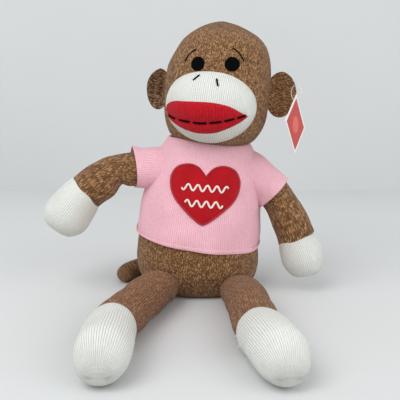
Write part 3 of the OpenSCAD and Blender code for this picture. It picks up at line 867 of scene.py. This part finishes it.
# legs
legs = dict(
    left=dict(hip="hip_left", body="leg_left_body", nodes=("leg_left", "leg_left_stuffing"), footNode="foot_left",
              cover=[(-38, -34, 20, 18, 13), (-42.5, -52, 20.5, 22, 15), (-47, -72, 22, 25.5, 21.5),
                     (-55, -98, 23, 24, 22), (-63.5, -126, 23.5, 23.5, 22), (-72, -156, 24, 23.5, 22.5),
                     (-81, -193, 24, 23, 22.5)],
              foot=[(-79, -185, 24, 22.5, 22), (-80.5, -194, 24.5, 24.5, 24), (-80.5, -213, 25, 25, 25),
                    (-80, -237, 25.5, 25.5, 25.5), (-80, -256, 25.5, 25, 25.5), (-80, -275, 25, 24, 24.5)]),
    right=dict(hip="hip_right", body="leg_right_body", nodes=("leg_right", "leg_right_stuffing"),
               footNode="foot_right",
               cover=[(45, -34, 16, 18, 12), (49, -52, 16.5, 20, 13.5), (51.5, -72, 18.5, 24, 18.5),
                      (54, -100, 21.5, 24, 21), (56, -128, 23, 23.5, 22), (58, -160, 24, 23.5, 22.5),
                      (61.5, -203, 24, 23, 22.5)],
               foot=[(60.5, -195, 24, 22.5, 22), (62.5, -204, 24.5, 24.5, 24), (66.5, -219, 25, 25.5, 25),
                     (70.5, -238, 25.5, 26, 25.5), (74.5, -257, 25.5, 25.5, 25.5), (78, -277, 25, 24, 24.5)]),
)
for side, leg in legs.items():
    label = side.capitalize()
    route = toMetres(leg["cover"])
    place = tubePlace(route, 12 * mm, 3 * mm, depth=1.6 * mm, size=0.025, flat=0.003)
    cover = softSheet(f"legCover{label}", 60, 80, place, stitchCount(legGirth, tubeLength(route) / mm))
    dress(cover, rustKnit, "brown_marl_knit", None, *leg["nodes"], fill=0.8)
    pivot, way = jointAt(leg["hip"]), (Vector(route[-1][:3]) - Vector(route[1][:3])).normalized()
    pivot - way * 0.018
    pivot + way * 0.018
    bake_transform(cover)
    route = toMetres(leg["foot"])
    place = tubePlace(route, 4 * mm, 24 * mm, depth=1.2 * mm, size=0.03, flat=0.002, seam=0.28, drop=0.4)
    foot = softSheet(f"footCover{label}", 64, 60, place, stitchCount(footGirth, tubeLength(route) / mm))
    dress(foot, whiteKnit, "white_knit", leg["body"], leg["footNode"], fill=0.85)

# loose ends at the right ankle: each strand's reach, and how far up it starts
frayed = dict(
    at=(41.5, -202, 18), radius=0.5, curl=0.3,
    strands=[((-4.5, -2, 3), 0), ((-5, 1.5, -1), 3), ((-3.5, -5, 2), 5), ((-4, 3, 4), -3), ((-3, -4, -4), -5)],
)
strands = []
for i, (reach, lift) in enumerate(frayed["strands"]):
    start = Vector(frayed["at"]) + Vector((0.6, -0.5 * i, lift * 0.8))
    spots = []
    for k in range(6):
        curl = Vector((0, 0, frayed["curl"] * math.sin(k * 1.7 + i)))
        spots.append((start + Vector(reach) * k / 5 + curl) * mm)
    strands.append(stitch(f"strand{i}", spots, frayed["radius"], creamThread, "cream_thread", "leg_right_body"))
looseThreads = joinPieces("looseThreads", strands)
print("legs made")

# tail
tail = dict(path=[(-4, 50, 15, 12.5, 12.5), (-22, 62, 13.5, 12.5, 12.5), (-45, 61, 13, 12.5, 12.5),
                  (-70, 50, 12.5, 12, 12), (-88, 31, 12, 11.5, 11.5), (-97, 6, 12, 11.5, 11.5)])
route = toMetres(tail["path"])
place = tubePlace(route, 6 * mm, 12 * mm, depth=1.0 * mm, size=0.02, flat=0.001)
tailCover = softSheet("tailCover", 44, 70, place, stitchCount(tailGirth, tubeLength(route) / mm))
dress(tailCover, brownKnit, "brown_marl_knit", None, "tail_cover", "tail_stuffing", fill=0.7)
root = jointAt("tail_swing")
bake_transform(tailCover)
print("tail made")

# hang tag
tag = dict(wide=45, high=53, thick=0.7, border=3, inset=7)   # a square-cornered card, held by one corner
tagHole = jointAt("tag_swing")
tagNormal = Vector(joints["tag_swing"]["axis"])


def tagMaterial():
    maker = Maker("printedCard")
    uv = maker.make("ShaderNodeUVMap", {"uv_map": "UVMap"})
    x = maker.make("ShaderNodeSeparateXYZ", None, [uv], output=0)
    y = maker.make("ShaderNodeSeparateXYZ", None, [uv], output=1)
    edgeX = 0.5 - abs(x - 0.5) - tag["border"] / tag["high"]
    edgeY = 0.5 - abs(y - 0.5) - tag["border"] / tag["wide"]
    inside = edgeX.above(0.0) * edgeY.above(0.0)
    ring = ((x - 0.5) ** 2 + (y - 0.5) ** 2) ** 0.5
    colour = maker.blend(inside, (*linear(235, 232, 228), 1), (*linear(192, 58, 52), 1))
    colour = maker.blend((0.2 - ring).above(0.0) * inside, colour, (*linear(222, 96, 84), 1))
    place = maker.make("ShaderNodeTexCoord", output=3)
    fine = maker.make("ShaderNodeTexNoise", None, {"Vector": place, "Scale": 700.0})
    bump = maker.make("ShaderNodeBump", None, {"Strength": 0.1, "Distance": 0.0002, "Height": fine})
    return maker.finish(Base_Color=colour, Roughness=0.45, Normal=bump)


bpy.ops.object.select_all(action="DESELECT")
bpy.ops.mesh.primitive_plane_add(size=1)
card = bpy.context.object
card.name = "hangTag"
down = Vector((0, 0, -1))
flatWay = down.cross(tagNormal).normalized()
tilt = math.atan(tag["wide"] / tag["high"])
longWay = down * math.cos(tilt) + flatWay * math.sin(tilt)
shortWay = down * math.sin(tilt) - flatWay * math.cos(tilt)
corner = tagHole - down * tag["inset"] * mm
for vertex in card.data.vertices:
    u, v = vertex.co.x + 0.5, vertex.co.y + 0.5
    vertex.co = corner + longWay * u * tag["high"] * mm + shortWay * v * tag["wide"] * mm
thicken(card, tag["thick"] * mm, 0.0)
dress(card, tagMaterial(), "tag_card", "tag", "hang_tag")

plastic = Maker("clearPlastic").finish(Base_Color=(0.8, 0.8, 0.8, 1), Roughness=0.3, Alpha=0.4)
loop = frame["nodes"]["tag_fastener"]
loop.data.materials.clear()
loop.data.materials.append(plastic)
print("tag made")

# set
studio = dict(
    floor=linear(212, 213, 212), wall=linear(206, 207, 206), side=4, wallBehind=0.75, target=(0, -0.05, 0.15),
    key=dict(place=(-0.9, -1.1, 1.6), size=1.4, power=22),
    fill=dict(place=(1.3, -1.2, 0.9), size=1.6, power=13),
    sky=(0.93, 0.96, 1.0, 1), skyPower=0.75,
)


def plainMaterial(name, colour):
    maker = Maker(name)
    place = maker.make("ShaderNodeTexCoord", output=3)
    cloud = maker.make("ShaderNodeTexNoise", None, {"Vector": place, "Scale": 3.0})
    tint = maker.ramp(cloud, [(0.3, tuple(c * 0.97 for c in colour)), (0.7, colour)])
    return maker.finish(Base_Color=tint, Roughness=0.8)


bpy.ops.object.select_all(action="DESELECT")
bpy.ops.mesh.primitive_plane_add(size=studio["side"], location=(0, 0.2, 0))
floor = bpy.context.object
floor.name = "floor"
floor.data.materials.append(plainMaterial("paleFloor", studio["floor"]))
bpy.ops.object.select_all(action="DESELECT")
bpy.ops.mesh.primitive_plane_add(size=studio["side"], location=(0, studio["wallBehind"], studio["side"] / 2),
                                 rotation=(math.pi / 2, 0, 0))
wall = bpy.context.object
wall.name = "wall"
wall.data.materials.append(plainMaterial("paleWall", studio["wall"]))


def areaLight(name, place, size, power):
    bpy.ops.object.light_add(type="AREA", location=place)
    light = bpy.context.object
    light.name = name
    light.data.size = size
    light.data.energy = power
    light.rotation_euler = (Vector(studio["target"]) - Vector(place)).to_track_quat("-Z", "Y").to_euler()


areaLight("key", **studio["key"])
areaLight("fill", **studio["fill"])
world = bpy.context.scene.world or bpy.data.worlds.new("studio")
bpy.context.scene.world = world
world.use_nodes = True
world.node_tree.nodes["Background"].inputs[0].default_value = studio["sky"]
world.node_tree.nodes["Background"].inputs[1].default_value = studio["skyPower"]
bpy.context.scene.view_settings.view_transform = "Standard"

camera = dict(place=(4, -712, 245), down=10.5, lens=51.75)
bpy.ops.object.camera_add(location=[value * mm for value in camera["place"]],
                          rotation=(math.radians(90 - camera["down"]), 0, 0))
eyePiece = bpy.context.object
eyePiece.data.lens = camera["lens"]
eyePiece.data.sensor_width = 36
bpy.context.scene.camera = eyePiece
print("studio made")
